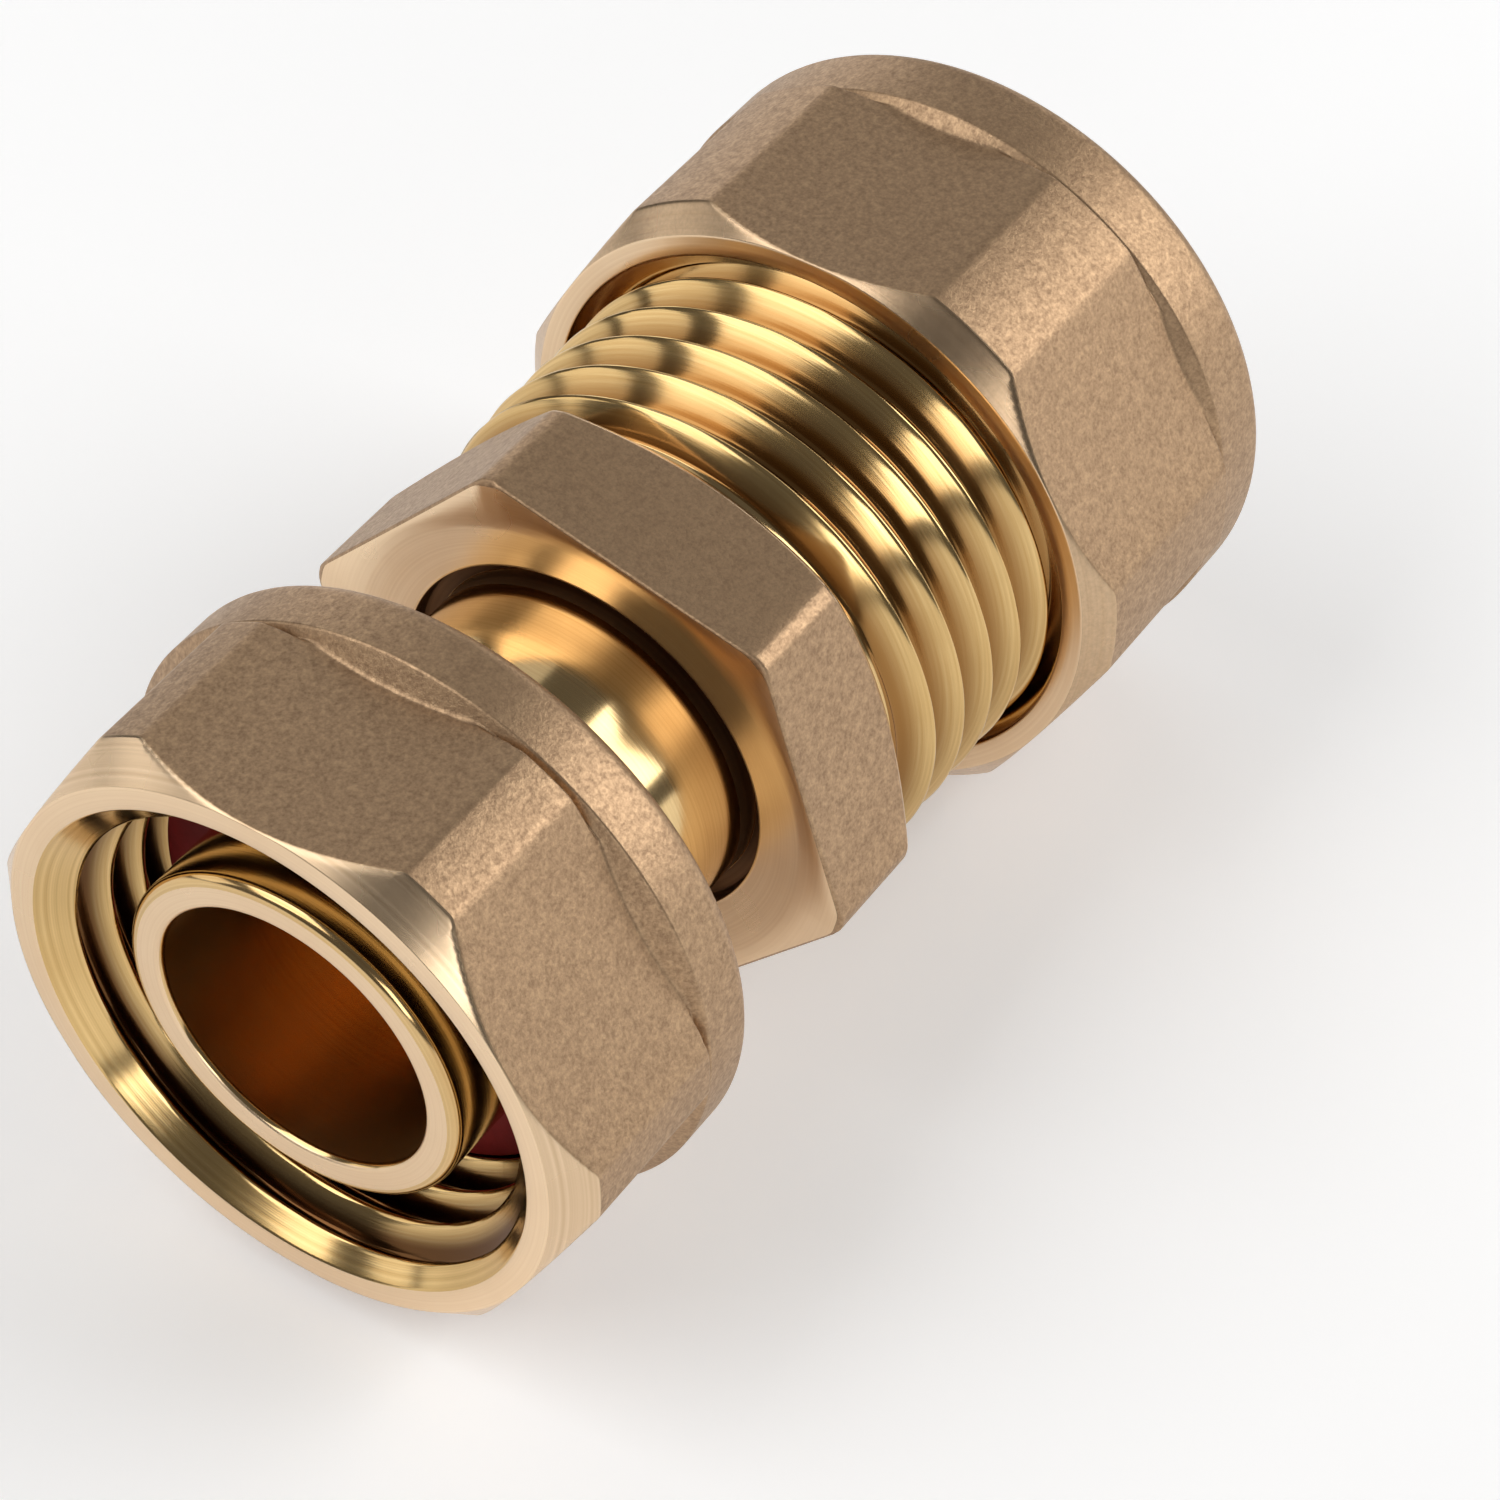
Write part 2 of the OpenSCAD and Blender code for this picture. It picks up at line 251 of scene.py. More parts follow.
# %% Shot-blasted grain
def make_blast_grain():
    group, inp, out = new_group(
        "blast_grain", {"Size mm": 0.25}, ["Speckle", "Height", "Cloud"])
    place = add(group, "ShaderNodeTexCoord").outputs["Object"]
    scale = calc(group, "DIVIDE", 1000.0, inp.outputs["Size mm"])
    coarse_scale = calc(group, "MULTIPLY", scale, 0.38)
    kind = "ShaderNodeTexNoise"
    fine = add(group, kind, {"Vector": place, "Scale": scale, "Detail": 3.0, "Roughness": 0.65})
    coarse = add(group, kind, {"Vector": place, "Scale": coarse_scale, "Detail": 2.0})
    cloud = add(group, kind, {"Vector": place, "Scale": 160.0, "Detail": 2.0})
    most = calc(group, "MULTIPLY", fine.outputs[0], 0.65)
    rest = calc(group, "MULTIPLY", coarse.outputs[0], 0.35)
    both = calc(group, "ADD", most, rest)
    group.links.new(both, out.inputs["Height"])
    group.links.new(map_range(group, both, 0.36, 0.64), out.inputs["Speckle"])
    group.links.new(cloud.outputs[0], out.inputs["Cloud"])
    return group


blast_grain = make_blast_grain()
print("group", blast_grain.name, "has", len(blast_grain.nodes), "nodes")

# %% [markdown]
# The second effect is the set of fine rings that a lathe tool leaves. On a
# cylinder they run round at a constant X, and on a face at a constant radius, so
# a noise of each of the two numbers gives both without any knowledge of which
# surface is being shaded.

# %% Turning marks
def make_turning_marks():
    group, inp, out = new_group("turning_marks", {"Spacing mm": 0.12}, ["Rings", "Cloud"])
    place, x, radius = turned_place(group)
    scale = calc(group, "DIVIDE", 1000.0, inp.outputs["Spacing mm"])
    along, across = [
        add(group, "ShaderNodeTexNoise", {"W": value, "Scale": scale, "Detail": 2.0},
            noise_dimensions="1D").outputs[0]
        for value in (x, radius)
    ]
    cloud = add(group, "ShaderNodeTexNoise", {"Vector": place, "Scale": 220.0, "Detail": 3.0})
    rings = calc(group, "MULTIPLY", calc(group, "ADD", along, across), 0.5)
    group.links.new(rings, out.inputs["Rings"])
    group.links.new(cloud.outputs[0], out.inputs["Cloud"])
    return group


turning_marks = make_turning_marks()
print("group", turning_marks.name, "has", len(turning_marks.nodes), "nodes")

# %% [markdown]
# The corners of the nuts and of the hexagon are chamfered bright after the skin
# was blasted. The line between the two finishes is where the chamfer's cone meets
# a flat. A different material for each face would make that line jagged, so a
# third group measures it: a point whose radius is that of the cone lies on the
# chamfer.

# %% Chamfer mask
EDGE_SHARPNESS = 20.0


def make_chamfer_mask():
    group, inp, out = new_group(
        "chamfer_mask",
        {"From mm": 0.0, "Radius mm": 10.0, "Slope": 1.0, "Reach mm": 0.03}, ["Mask"])
    _, x, radius = turned_place(group)
    along = calc(group, "SUBTRACT", calc(group, "MULTIPLY", x, 1000.0), inp.outputs["From mm"])
    cone = calc(group, "MULTIPLY_ADD", along, inp.outputs["Slope"], inp.outputs["Radius mm"])
    gap = calc(group, "SUBTRACT", cone, calc(group, "MULTIPLY", radius, 1000.0))
    past = calc(group, "SUBTRACT", gap, inp.outputs["Reach mm"])
    past = calc(group, "MULTIPLY", past, EDGE_SHARPNESS)
    group.links.new(map_range(group, past, 0.0, 1.0, 1.0, 0.0), out.inputs["Mask"])
    return group


chamfer_mask = make_chamfer_mask()
print("group", chamfer_mask.name, "has", len(chamfer_mask.nodes), "nodes")

# %% [markdown]
# A thread is bright on its crests and is painted darker in its grooves, partly as dirt and partly
# as the shade that falls there.
# The distance from the centre line tells one from the other, for an outside
# thread and, with the two radii swapped, for an inside one. The fourth group puts
# out 0 at the root and 1 at the crest.

# %% Thread height
def make_thread_height():
    group, inp, out = new_group("thread_height", {"Root mm": 10.0, "Crest mm": 11.0}, ["Height"])
    radius = turned_place(group)[2]
    rise = calc(group, "SUBTRACT", calc(group, "MULTIPLY", radius, 1000.0), inp.outputs["Root mm"])
    whole = calc(group, "SUBTRACT", inp.outputs["Crest mm"], inp.outputs["Root mm"])
    group.links.new(calc(group, "DIVIDE", rise, whole), out.inputs["Height"])
    return group


thread_height = make_thread_height()
print("group", thread_height.name, "has", len(thread_height.nodes), "nodes")

# %% [markdown]
# ## Materials
#
# Brass keeps its colour in its reflections, so each brass material is fully
# metallic and differs from the others in base colour, roughness and relief. The
# blasted skin is rough and a little brown. Faces and chamfers that were turned
# after blasting are smoother and lighter, the tail and the threads are bright,
# and the groove round the tail is painted near black as the shade in it.
#
# A look is a function that gives a colour, a roughness and a relief in metres. Two
# looks can then be blended in one material before its Principled BSDF is fed.

# %% Looks of brass
SKIN_DULL, SKIN_LIGHT = (0.34, 0.22, 0.13, 1), (0.58, 0.39, 0.23, 1)
GRAIN_MM = 0.15
DENT_DEPTH = 0.000024

# Each turned look: spacing of the marks in mm, dark and light colour, smoothest and
# dullest roughness, and depth of the marks in metres.
TURNED = {
    "faced": (0.10, (0.82, 0.59, 0.37, 1), (0.92, 0.70, 0.47, 1), 0.26, 0.34, 0.0000025),
    # The chamfer is the same turned finish as the faces, with its colours painted darker as shade.
    "chamfer": (0.10, (0.66, 0.47, 0.29, 1), (0.78, 0.58, 0.38, 1), 0.24, 0.32, 0.0000025),
    "bright": (0.10, (0.60, 0.38, 0.16, 1), (0.77, 0.56, 0.28, 1), 0.10, 0.17, 0.0000024),
    "thread": (0.10, (0.60, 0.38, 0.145, 1), (0.81, 0.58, 0.27, 1), 0.11, 0.19, 0.0000024),
    "bored": (0.16, (0.78, 0.47, 0.20, 1), (0.90, 0.60, 0.28, 1), 0.18, 0.28, 0.000003),
    # The groove's colours are near black, painted as the shade in that recess.
    "painted_groove_shade": (0.20, (0.14, 0.07, 0.03, 1), (0.24, 0.13, 0.06, 1), 0.40, 0.55, 0.000003),
}


def blasted_look(tree):
    """The look of the blasted skin."""
    grain = add(tree, "ShaderNodeGroup", {"Size mm": GRAIN_MM}, node_tree=blast_grain)
    colour = blend_colours(tree, grain.outputs["Speckle"], SKIN_DULL, SKIN_LIGHT)
    stain = calc(tree, "MULTIPLY", grain.outputs["Cloud"], 0.3)
    colour = blend_colours(tree, stain, colour, SKIN_DULL)
    rough = map_range(tree, grain.outputs["Speckle"], 0.0, 1.0, 0.52, 0.42)
    return colour, rough, calc(tree, "MULTIPLY", grain.outputs["Height"], DENT_DEPTH)


def turned_look(tree, finish):
    """The look of a turned face with that finish."""
    spacing, dark, light, smooth, dull, depth = TURNED[finish]
    marks = add(tree, "ShaderNodeGroup", {"Spacing mm": spacing}, node_tree=turning_marks)
    rings, cloud = marks.outputs["Rings"], marks.outputs["Cloud"]
    colour = blend_colours(tree, map_range(tree, rings, 0.3, 0.7), dark, light)
    stain = map_range(tree, cloud, 0.45, 0.75, 0.0, 0.5)
    colour = blend_colours(tree, stain, colour, dark)
    rough = map_range(tree, cloud, 0.3, 0.7, smooth, dull)
    return colour, rough, calc(tree, "MULTIPLY", rings, depth)


print("turned looks:", ", ".join(TURNED))

# %% [markdown]
# One function turns any look into a material. Relief goes through a Bump node with
# a distance of 1, so that it is a true height and small parts aren't dented like
# large ones.

# %% Brass from a look
def start_material(name):
    """A new material, its node tree and its Principled BSDF."""
    material = bpy.data.materials.new(name)
    material.use_nodes = True
    tree = material.node_tree
    return material, tree, tree.nodes["Principled BSDF"]


def brass_material(name, make_look):
    """A metallic material from a look."""
    material, tree, shader = start_material(name)
    colour, rough, relief = make_look(tree)
    bump = add(tree, "ShaderNodeBump", {"Height": relief, "Distance": 1.0, "Strength": 1.0})
    tree.links.new(colour, shader.inputs["Base Color"])
    tree.links.new(rough, shader.inputs["Roughness"])
    tree.links.new(bump.outputs[0], shader.inputs["Normal"])
    shader.inputs["Metallic"].default_value = 1.0
    return material


def turned_brass(name, finish):
    """Brass with one turned finish all over."""
    return brass_material(name, lambda tree: turned_look(tree, finish))


faced = turned_brass("faced_brass", "faced")
bright = turned_brass("bright_turned_brass", "bright")
# The groove's brass is painted near black, as shade.
painted_groove_shade = turned_brass("painted_groove_shade_brass", "painted_groove_shade")
bored = turned_brass("bored_brass", "bored")
print("brass:", faced.name, bright.name, painted_groove_shade.name, bored.name)

# %% [markdown]
# The skins of the two nuts and of the body's hexagon blend the blasted look with
# the chamfer's look by the mask. The compression nut's chamfer is as smooth as the
# others, but it has kept half of the skin's brown.

# %% Skins with bright chamfers
def cone_mask(tree, start, radius, slope, reach):
    """1 on the cone that has that radius at start, both in mm, and 0 beyond its reach."""
    place = {"From mm": start, "Radius mm": radius, "Slope": slope, "Reach mm": reach}
    return add(tree, "ShaderNodeGroup", place, node_tree=chamfer_mask).outputs["Mask"]


def chamfered_skin(name, cone, share=1.0):
    """Blasted skin with a bright chamfer on a cone, and that share of the chamfer's colour."""
    def look(tree):
        skin, chamfer = blasted_look(tree), turned_look(tree, "chamfer")
        mask = cone_mask(tree, *cone)
        colour = blend_colours(tree, calc(tree, "MULTIPLY", mask, share), skin[0], chamfer[0])
        rough, relief = [
            add(tree, "ShaderNodeMix", {0: mask, 2: skin[k], 3: chamfer[k]}).outputs[0]
            for k in (1, 2)
        ]
        return colour, rough, relief
    return brass_material(name, look)


swivel_skin = chamfered_skin("swivel_nut_skin", (-24.4, 11.8, 1.0, 0.03))
clamp_skin = chamfered_skin("compression_nut_skin", (9.1, 12.65, 1.0, 0.03), share=0.5)
hexagon_skin = chamfered_skin("body_hexagon_skin", (-0.8, 10.6, -1.732, 0.25))
print("skins:", swivel_skin.name, clamp_skin.name, hexagon_skin.name)

# %% [markdown]
# Thread brass fades from a dark root, painted as dirt and as shade, to clean metal
# at the crest. Inside the swivel nut the root is painted darker still, as the deep
# shade in the nut, but the cone of the mouth is kept clean and unshaded.

# %% Thread brass
# Root colours: dirt and painted shade; the inside one is darker, as painted shade deep in the nut.
MALE_ROOT_DIRT_AND_SHADE, FEMALE_ROOT_DIRT_AND_SHADE = (0.32, 0.16, 0.05, 1), (0.12, 0.055, 0.02, 1)
SWIVEL_MOUTH = (-24.4, 10.86, -1.0, -0.11)


def thread_brass(name, root, crest, root_dirt_and_shade, start, mouth=None):
    """Brass of a thread between two radii in mm, with dirt and painted shade from its root up to
    that start.
    """
    def look(tree):
        colour, rough, relief = turned_look(tree, "thread")
        ends = {"Root mm": root, "Crest mm": crest}
        height = add(tree, "ShaderNodeGroup", ends, node_tree=thread_height).outputs["Height"]
        # Below that start the colour turns to the root's dirt and painted shade.
        clean_and_lit = map_range(tree, height, start, 1.0, kind="SMOOTHSTEP")
        if mouth:
            on_mouth = calc(tree, "SUBTRACT", 1.0, cone_mask(tree, *mouth))
            clean_and_lit = calc(tree, "MAXIMUM", clean_and_lit, on_mouth)
        return blend_colours(tree, clean_and_lit, root_dirt_and_shade, colour), rough, relief
    return brass_material(name, look)


male_thread = thread_brass("male_thread_brass", 10.0, 11.1, MALE_ROOT_DIRT_AND_SHADE, 0.1)
female_thread = thread_brass(
    "female_thread_brass", 10.46, 9.32, FEMALE_ROOT_DIRT_AND_SHADE, 0.3, mouth=SWIVEL_MOUTH)
print("threads:", male_thread.name, female_thread.name)

# %% [markdown]
# The washer is punched from red vulcanised fibre, a dense paper board. It is
# matt, slightly mottled, and its edge shows the layers of the board. A noise that
# is squeezed along X draws the layers, because the board lies across the centre
# line.

# %% Fibre
FIBRE_DARK, FIBRE_LIGHT = (0.26, 0.006, 0.006, 1), (0.52, 0.03, 0.025, 1)
FIBRE_LAYER = (0.16, 0.01, 0.01, 1)


def fibre_board():
    material, tree, shader = start_material("red_fibre")
    place = add(tree, "ShaderNodeTexCoord").outputs["Object"]
    mottle = add(tree, "ShaderNodeTexNoise", {
        "Vector": place, "Scale": 1400.0, "Detail": 4.0, "Roughness": 0.7}).outputs[0]
    squeezed = add(tree, "ShaderNodeMapping", {0: place, "Scale": (9.0, 1.0, 1.0)}).outputs[0]
    layers = add(tree, "ShaderNodeTexNoise", {
        "Vector": squeezed, "Scale": 900.0, "Detail": 2.0}).outputs[0]
    colour = blend_colours(tree, mottle, FIBRE_DARK, FIBRE_LIGHT)
    colour = blend_colours(tree, calc(tree, "MULTIPLY", layers, 0.4), colour, FIBRE_LAYER)
    bump = add(tree, "ShaderNodeBump", {"Height": mottle, "Distance": 0.00003, "Strength": 0.6})
    tree.links.new(colour, shader.inputs["Base Color"])
    tree.links.new(bump.outputs[0], shader.inputs["Normal"])
    shader.inputs["Roughness"].default_value = 0.62
    return material


fibre = fibre_board()
print("fibre:", fibre.name)

# %% [markdown]
# The floor has to look nearly white, also in the metal, without stronger lamps on
# the object. A faint glow of its own round the object does that: only rays that
# come from the camera, a mirror or glass see it, so it adds no diffuse light, and
# the floor keeps the object's shadow.

# %% Pale floor
POOL_START, POOL_END = 0.15, 0.60
POOL_LIGHT, POOL_EDGE = 0.265, 0.05


def pale_floor():
    material, tree, shader = start_material("pale_floor")
    shader.inputs["Base Color"].default_value = (0.93, 0.93, 0.93, 1)
    shader.inputs["Roughness"].default_value = 0.7
    ray = add(tree, "ShaderNodeLightPath").outputs
    seen = calc(tree, "MAXIMUM", ray["Is Camera Ray"], ray["Is Glossy Ray"])
    seen = calc(tree, "MAXIMUM", seen, ray["Is Transmission Ray"])
    place = add(tree, "ShaderNodeTexCoord").outputs["Object"]
    away = add(tree, "ShaderNodeVectorMath", {0: place}, operation="LENGTH").outputs["Value"]
    pool = map_range(tree, away, POOL_START, POOL_END, POOL_LIGHT, POOL_EDGE, kind="SMOOTHSTEP")
    shader.inputs["Emission Color"].default_value = (1, 1, 1, 1)
    tree.links.new(calc(tree, "MULTIPLY", seen, pool), shader.inputs["Emission Strength"])
    return material


floor.data.materials.append(pale_floor())
print("floor:", floor.data.materials[0].name)

# %% [markdown]
# ## Mesh tools
#
# All the metal pieces are turned, so their surface can be walked as a closed loop
# of rings round the X axis: along the outside, over the back face, back through
# the bore and over the front face. What isn't round, such as flats or a thread,
# only changes the radius round a ring. Building the rings with NumPy gives clean
# quads and exact control of every edge, where a Boolean would leave slivers that
# shade badly.
#
# A ring is an X, a radius and the name of the finish between it and the next ring.

# %% Rings to mesh
def ring_body(name, rings, angles, finishes):
    """A closed mesh from rings in mm; X and radius may vary with the angle."""
    count, turns = len(rings), len(angles)
    x = np.stack([np.broadcast_to(np.asarray(ring[0], float), turns) for ring in rings])
    r = np.stack([np.broadcast_to(np.asarray(ring[1], float), turns) for ring in rings])
    points = np.stack([x, r * np.cos(angles), r * np.sin(angles)], -1).reshape(-1, 3) / 1000
    i, j = np.meshgrid(np.arange(count), np.arange(turns), indexing="ij")
    i2, j2 = (i + 1) % count, (j + 1) % turns
    corners = [i * turns + j, i * turns + j2, i2 * turns + j2, i2 * turns + j]
    quads = np.stack(corners, -1).reshape(-1, 4)
    labels = list(finishes)
    mesh = bpy.data.meshes.new(name)
    mesh.vertices.add(len(points))
    mesh.vertices.foreach_set("co", points.ravel())
    mesh.loops.add(len(quads) * 4)
    mesh.loops.foreach_set("vertex_index", quads.ravel())
    mesh.polygons.add(len(quads))
    mesh.polygons.foreach_set("loop_start", np.arange(0, len(quads) * 4, 4))
    slots = np.repeat([labels.index(ring[2]) for ring in rings], turns)
    mesh.polygons.foreach_set("material_index", slots)
    mesh.update(calc_edges=True)
    mesh.validate()
    for material in finishes.values():
        mesh.materials.append(material)
    mesh.shade_smooth()
    piece = bpy.data.objects.new(name, mesh)
    bpy.context.scene.collection.objects.link(piece)
    print(f"{name}: {2 * len(quads)} triangles")
    return piece


EVEN = np.linspace(0, 2 * math.pi, 256, endpoint=False)
print("a plain ring has", len(EVEN), "points")

# %% [markdown]
# Real edges are never razor sharp. A soft minimum and maximum join two surfaces
# with a small round edge, and a rounded corner does the same for a profile.

# %% Soft edges
def soft_min(a, b, width):
    """The smaller of a and b, with the crossing rounded over about that width."""
    h = np.clip(0.5 + 0.5 * (b - a) / width, 0, 1)
    return b * (1 - h) + a * h - width * h * (1 - h)


def soft_max(a, b, width):
    """The larger of a and b, rounded in the same way."""
    return -soft_min(-a, -b, width)


def rounded(points, radius, steps=4):
    """A closed profile of (x, r, finish) points with corners rounded by up to that radius."""
    out = []
    count = len(points)
    for k in range(count):
        p = np.array(points[k][:2], float)
        before = np.array(points[k - 1][:2], float) - p
        after = np.array(points[(k + 1) % count][:2], float) - p
        lengths = [np.linalg.norm(before), np.linalg.norm(after)]
        reach = min(radius, lengths[0] * 0.45, lengths[1] * 0.45)
        a = p + before / lengths[0] * reach
        b = p + after / lengths[1] * reach
        for s in np.linspace(0, 1, steps + 1):
            q = (1 - s) ** 2 * a + 2 * s * (1 - s) * p + s ** 2 * b
            out.append((q[0], q[1], points[k][2]))
    return out


def filled(points, step):
    """The same profile with extra points, so that no stretch is longer than step."""
    out = []
    for k, (x, r, finish) in enumerate(points):
        x2, r2, _ = points[(k + 1) % len(points)]
        parts = max(1, int(math.ceil(math.hypot(x2 - x, r2 - r) / step)))
        out += [(x + (x2 - x) * n / parts, r + (r2 - r) * n / parts, finish) for n in range(parts)]
    return out


print("two surfaces at 10 mm join softly at", soft_min(10.0, 10.0, 0.1), "mm")

# %% [markdown]
# A hexagon is a radius too: the distance from the centre line to a flat grows as
# one over the cosine of the angle from the flat's middle. Samples are crowded
# where the corners are, so that their edges stay crisp with few faces.
#
# A thread is a wave that moves on by one pitch in each turn. The arcsine of a
# cosine has straight flanks, and a factor just below 1 rounds crest and groove.

# %% Hexagons and threads
NEAR_EDGE = 1.1
THREAD_SHARPNESS = 0.97


def hex_radius(angles, face_r, corner_at):
    """Radius of a hexagon with flats at face_r and a corner at that angle in degrees."""
    step = math.radians(60)
    off = (angles - math.radians(corner_at) + step) % step - step / 2
    return face_r / np.cos(off)


def crowded_angles(corner_at, half_strip, plain, dense, across):
    """Angles in radians for one turn, dense within NEAR_EDGE degrees of each strip's edges."""
    inner, outer = half_strip - NEAR_EDGE, half_strip + NEAR_EDGE
    sector = np.concatenate([
        np.linspace(0, inner, across, endpoint=False) if inner > 0 else [],
        np.linspace(max(inner, 0), outer, dense, endpoint=False),
        np.linspace(outer, 30, plain, endpoint=False),
    ])
    half = np.concatenate([sector, [30.0]])
    one = np.concatenate([-half[:0:-1], half[:-1]])
    every = np.concatenate([one + corner_at + 60 * k for k in range(6)])
    return np.radians(np.sort(every % 360))


def thread_wave(x, angles, pitch, start):
    """From -1 in a groove to +1 on a crest of a right-hand thread along X."""
    phase = 2 * math.pi * (x - start) / pitch - angles
    return np.arcsin(THREAD_SHARPNESS * np.cos(phase)) / math.asin(THREAD_SHARPNESS)


print("corner over flats of 20 mm:", round(2 * hex_radius(0.0, 10.0, 0), 2), "mm")

# %% [markdown]
# ## The nuts
#
# Both nuts start as round bar with six flats milled on it. The milling stops
# short of the outer end and leaves a round collar, the bar's own surface shows
# as a narrow strip at each corner, and a chamfer cuts the corners back in
# front. One function makes both, from the sizes of each.

# %% Nut outside
def nut_outside(size, angles):
    """Rings of a nut's outside from its front edge to its back face."""
    front, flat_end, back = size["front"], size["flat_end"], size["back"]
    face_r, bar_r, collar_r = size["face_r"], size["bar_r"], size["collar_r"]
    edge, corner_round = size["edge"], size["round"]
    flats = hex_radius(angles, face_r, size["corner_at"])
    chamfer_end = front + size["chamfer_len"]
    slope = (bar_r - face_r) / size["chamfer_len"]
    run_out = (collar_r - face_r + 0.25) / 0.80
    xs = np.concatenate([
        front + np.linspace(0.0, 0.12, 5),
        np.arange(front + 0.18, chamfer_end + 0.35, 0.06),
        np.linspace(chamfer_end + 0.5, flat_end - 1.1, 5),
        np.arange(flat_end - 0.9, flat_end + 0.75, 0.06),
    ])
    rings = []
    for x in xs:
        cone = face_r + slope * (x - front)
        drop = bar_r - max(0.0, x - flat_end + 0.10) * 6.0
        blank = soft_min(min(cone, bar_r), drop, 0.06)
        hexagon = soft_min(np.full_like(angles, blank), flats, edge)
        rise = (x - flat_end + 0.45) * run_out + face_r - 0.25
        collar = min(collar_r, rise) if x < flat_end + 0.6 else collar_r
        rings.append((x, soft_max(hexagon, np.full_like(angles, collar), edge), "skin"))
    for a in np.radians(np.linspace(0, 90, 10)):
        x = back - corner_round * (1 - math.sin(a))
        rings.append((x, collar_r - corner_round * (1 - math.cos(a)), "skin"))
    return rings


# %% [markdown]
# The bore of each nut carries an inside thread. It is modelled as a true helix,
# because the mouth of the swivel nut faces the camera. The mouth's chamfer is a
# cone, and where the cone is wider than the thread it has cut the thread away. At
# its inner end the thread runs out into a relief groove.

# %% Nut bore
def nut_bore(size, angles):
    """Rings from the thread's inner end out to the front face."""
    front, mouth_r, face_r = size["front"], size["mouth_r"], size["face_r"]
    root_r, crest_r = size["root_r"], size["crest_r"]
    middle, depth = (root_r + crest_r) / 2, (root_r - crest_r) / 2
    rings = []
    for x in np.arange(size["thread_end"], front + 0.08, -size["thread_step"]):
        cut = middle - thread_wave(x, angles, size["pitch"], size["thread_start"]) * depth
        relief = root_r - max(0.0, size["thread_end"] - 0.5 - x) * 3.0
        mouth = mouth_r - (x - front) * size["mouth_slope"]
        cut = soft_max(np.maximum(cut, relief), np.full_like(angles, mouth), 0.08)
        rings.append((x, cut, "thread"))
    rings.append((front + 0.03, mouth_r - 0.03, "faced"))
    rings.append((front, mouth_r + 0.04, "faced"))
    rings.append((front, (mouth_r + face_r) / 2, "faced"))
    rings.append((front, face_r - 0.10, "faced"))
    return rings


# %% [markdown]
# The swivel nut turns on the tail, behind the flange, and its inside thread screws
# on to the tail of a tap. Each nut is a table of sizes, in which _r marks a radius.

# %% Swivel nut
swivel = {
    "front": -24.4, "back": -13.4, "flat_end": -16.4, "chamfer_len": 1.25, "corner_at": 0,
    "face_r": 11.8, "bar_r": 13.05, "collar_r": 12.75, "round": 0.8, "edge": 0.10,
    "pitch": 1.814, "thread_start": -23.6, "root_r": 10.46, "crest_r": 9.32,
    "thread_end": -15.2, "thread_step": 0.09, "mouth_r": 10.86, "mouth_slope": 1.0,
}
swivel_angles = crowded_angles(0, 4.7, 15, 12, 8)
swivel_back = [
    (-13.4, 9.6, "skin"), (-13.4, 7.8, "skin"), (-13.76, 7.38, "bright"),
    (-15.06, 7.36, "bright"), (-15.1, 7.5, "bright"), (-15.1, 9.0, "bright"),
    (-15.12, 10.4, "bright"),
]
swivel_nut = ring_body(
    "swivel_nut_brass",
    nut_outside(swivel, swivel_angles) + swivel_back + nut_bore(swivel, swivel_angles),
    swivel_angles,
    {"skin": swivel_skin, "faced": faced, "bright": bright, "thread": female_thread},
)
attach(swivel_nut, "swivel_nut")
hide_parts("swivel_nut")

# %% [markdown]
# The compression nut is larger and has a 45 degree seat behind its thread, which
# presses on the olive. Pitch and start of its thread are shared with the body's.

# %% Compression nut
PITCH, THREAD_START = 2.0, 0.2
clamp = {
    "front": 9.1, "back": 22.1, "flat_end": 18.6, "chamfer_len": 0.95, "corner_at": 0,
    "face_r": 12.65, "bar_r": 13.6, "collar_r": 13.15, "round": 0.8, "edge": 0.10,
    "pitch": PITCH, "thread_start": THREAD_START + PITCH / 2, "root_r": 11.18, "crest_r": 10.16,
    "thread_end": 17.5, "thread_step": 0.11, "mouth_r": 11.78, "mouth_slope": 1.0,
}
clamp_angles = crowded_angles(0, 8.15, 13, 12, 10)
clamp_back = [
    (22.1, 11.5, "skin"), (22.1, 8.1, "skin"), (21.7, 7.66, "bright"),
    (21.04, 7.65, "bright"), (19.3, 9.4, "bright"), (17.52, 11.16, "bright"),
]
compression_nut = ring_body(
    "compression_nut_brass",
    nut_outside(clamp, clamp_angles) + clamp_back + nut_bore(clamp, clamp_angles),
    clamp_angles,
    {"skin": clamp_skin, "faced": faced, "bright": bright, "thread": bright},
)
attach(compression_nut, "compression_nut")
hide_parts("compression_nut")

# %% [markdown]
# ## The body
#
# The body carries the middle hexagon and the male thread that the compression nut
# runs on. The thread has the same pitch and start as the nut's, so that crests
# and grooves lie in each other, and still do after the nut has turned. The
# hexagon's front face is dished and has an open groove round the tail, and its
# corners are chamfered by 30 degrees towards the thread.

# %% Body outside
HEX_TURN = 13
HEX_FRONT, HEX_BACK, HEX_FACE_R = -6.3, -0.8, 10.65
CORNER_R, CORNER_START_R = 12.12, 11.98
CHAMFER_R, CHAMFER_SLOPE = 10.60, 1.732
FRONT_ROUND = 0.10
ROOT_R, CREST_R, THREAD_END = 10.0, 11.1, 11.9


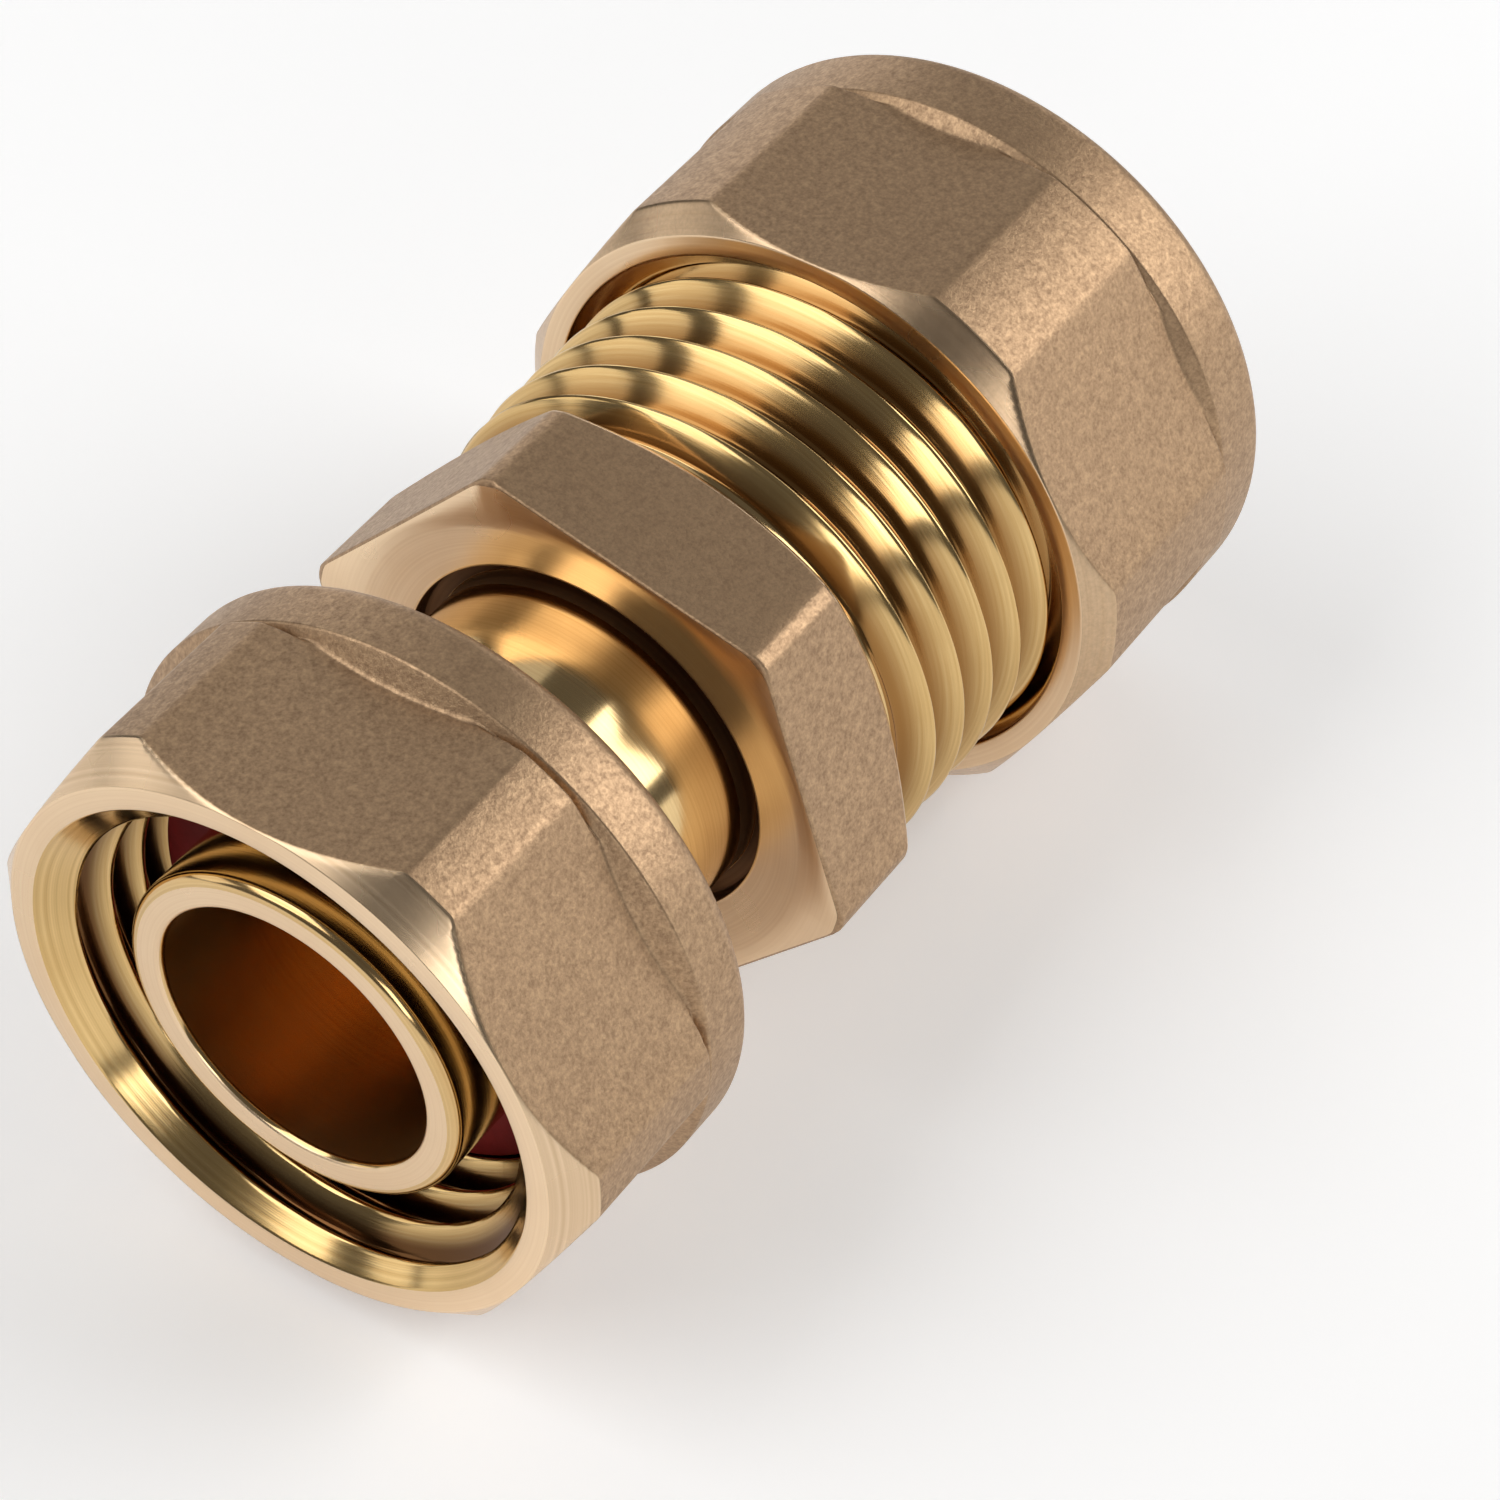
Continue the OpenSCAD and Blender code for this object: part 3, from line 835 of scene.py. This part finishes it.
def body_outside(angles):
    """Rings of the hexagon and the thread, from the front edge to the mouth."""
    flats = hex_radius(angles, HEX_FACE_R, HEX_TURN)
    rings = []
    xs = np.concatenate([
        HEX_FRONT + np.linspace(0, 0.5, 9), np.linspace(-5.6, -2.2, 4),
        np.arange(-2.0, -0.79, 0.06), [HEX_BACK],
    ])
    for x in xs:
        into = max(0.0, FRONT_ROUND - (x - HEX_FRONT))
        inset = FRONT_ROUND - math.sqrt(max(0.0, FRONT_ROUND ** 2 - into ** 2))
        corner = min(CORNER_START_R + (x - HEX_FRONT), CORNER_R)
        back_cone = CHAMFER_R + (HEX_BACK - x) * CHAMFER_SLOPE
        side = soft_min(np.full_like(angles, corner), flats, 0.12) - inset
        rings.append((x, soft_min(np.full_like(angles, back_cone), side, 0.35), "skin"))
    rings += [(-0.8, 10.3, "bright"), (-0.78, 10.02, "bright"), (-0.3, 10.0, "bright")]
    middle, depth = (ROOT_R + CREST_R) / 2, (CREST_R - ROOT_R) / 2
    for x in np.arange(-0.1, THREAD_END, 0.075):
        cut = middle + depth * thread_wave(x, angles, PITCH, THREAD_START)
        start = ROOT_R + (x + 0.1) * 1.6
        end = CREST_R - max(0.0, x - (THREAD_END - 1.0))
        cut = soft_min(np.minimum(cut, end), np.full_like(angles, start), 0.06)
        rings.append((x, cut, "thread"))
    return rings


# %% [markdown]
# Inside, the body has a cone for the olive, the socket with the stop for the tube,
# the waterway, and the hole that the tail is pressed into. The walls of the open
# groove are painted near black, as the shade that fills it.

# %% Body
body_inside = [
    (11.9, 10.08, "bright"), (11.9, 9.4, "bright"), (11.86, 9.28, "bright"),
    (10.4, 8.45, "bright"), (8.92, 7.62, "bright"), (8.8, 7.6, "bored"), (4.0, 7.6, "bored"),
    (0.02, 7.6, "bored"), (0.0, 7.5, "bored"), (0.0, 5.9, "bored"), (-0.08, 5.8, "bored"),
    (-2.28, 5.8, "bored"), (-2.3, 5.85, "bored"), (-2.3, 7.2, "bored"), (-2.4, 7.23, "bored"),
    # The groove's rings are painted near black, as shade.
    (-5.08, 7.23, "bored"), (-5.1, 7.3, "painted_groove_shade"), (-5.1, 7.85, "painted_groove_shade"),
    (-5.14, 7.93, "painted_groove_shade"), (-5.84, 7.93, "painted_groove_shade"), (-5.91, 7.97, "faced"),
    (-5.93, 8.1, "faced"), (-6.12, 9.1, "faced"), (-6.28, 9.9, "faced"),
    (-6.3, 10.05, "faced"), (-6.3, 10.35, "faced"),
]
body_angles = crowded_angles(HEX_TURN, 0.6, 24, 10, 0)
body_piece = ring_body(
    "body_brass", body_outside(body_angles) + body_inside, body_angles,
    {"skin": hexagon_skin, "faced": faced, "bright": bright, "bored": bored,
     "painted_groove_shade": painted_groove_shade, "thread": male_thread},
)
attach(body_piece, "fitting")
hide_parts("body")

# %% [markdown]
# ## Tail, washer and olive
#
# These three are plain turned rings. Their sharp edges are rounded by a tenth or
# two of a millimetre, which catches a thin line of light as on the real ones. The
# tail is a tube with a flange. The swivel nut turns behind the flange, and the
# spigot in front of it carries the washer.

# %% Tail
tail_profile = [
    (-23.5, 5.95, "faced"), (-23.5, 6.98, "bright"), (-23.25, 7.25, "bright"),
    (-17.2, 7.25, "bright"), (-17.2, 9.0, "bright"), (-15.3, 9.0, "bright"),
    # The tail inside the body's hole and groove is painted near black, as shade.
    (-15.3, 7.25, "bright"), (-5.9, 7.25, "painted_groove_shade"), (-2.6, 7.25, "bored"),
    (-2.3, 6.95, "bored"), (-2.3, 5.8, "bored"), (-23.3, 5.8, "bright"),
]
tail = ring_body(
    "tail_brass", filled(rounded(tail_profile, 0.16), 1.2), EVEN,
    {"bright": bright, "bored": bored, "painted_groove_shade": painted_groove_shade, "faced": faced},
)
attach(tail, "fitting")
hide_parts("tail")

# %% [markdown]
# The washer sits round the spigot, flat against the flange, where it seals the
# union. It is part of the tail's body and needs no joint.

# %% Washer
washer_profile = [
    (-18.8, 7.4, "fibre"), (-18.8, 9.25, "fibre"), (-17.2, 9.25, "fibre"), (-17.2, 7.4, "fibre"),
]
washer = ring_body(
    "washer_fibre", filled(rounded(washer_profile, 0.14), 0.4), EVEN, {"fibre": fibre})
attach(washer, "fitting")
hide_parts("fibre_washer")

# %% [markdown]
# The olive is a soft ring with a taper at each end. The nut's seat and the body's
# cone squeeze both tapers, and the olive closes on the tube.

# %% Olive
olive_profile = [
    (15.02, 7.6, "bright"), (15.02, 7.95, "bright"), (16.92, 8.75, "bright"),
    (18.62, 8.75, "bright"), (20.52, 7.95, "bright"), (20.52, 7.6, "bright"),
]
olive = ring_body(
    "olive_brass", filled(rounded(olive_profile, 0.12), 0.5), EVEN, {"bright": bright})
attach(olive, "olive")
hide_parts("olive")
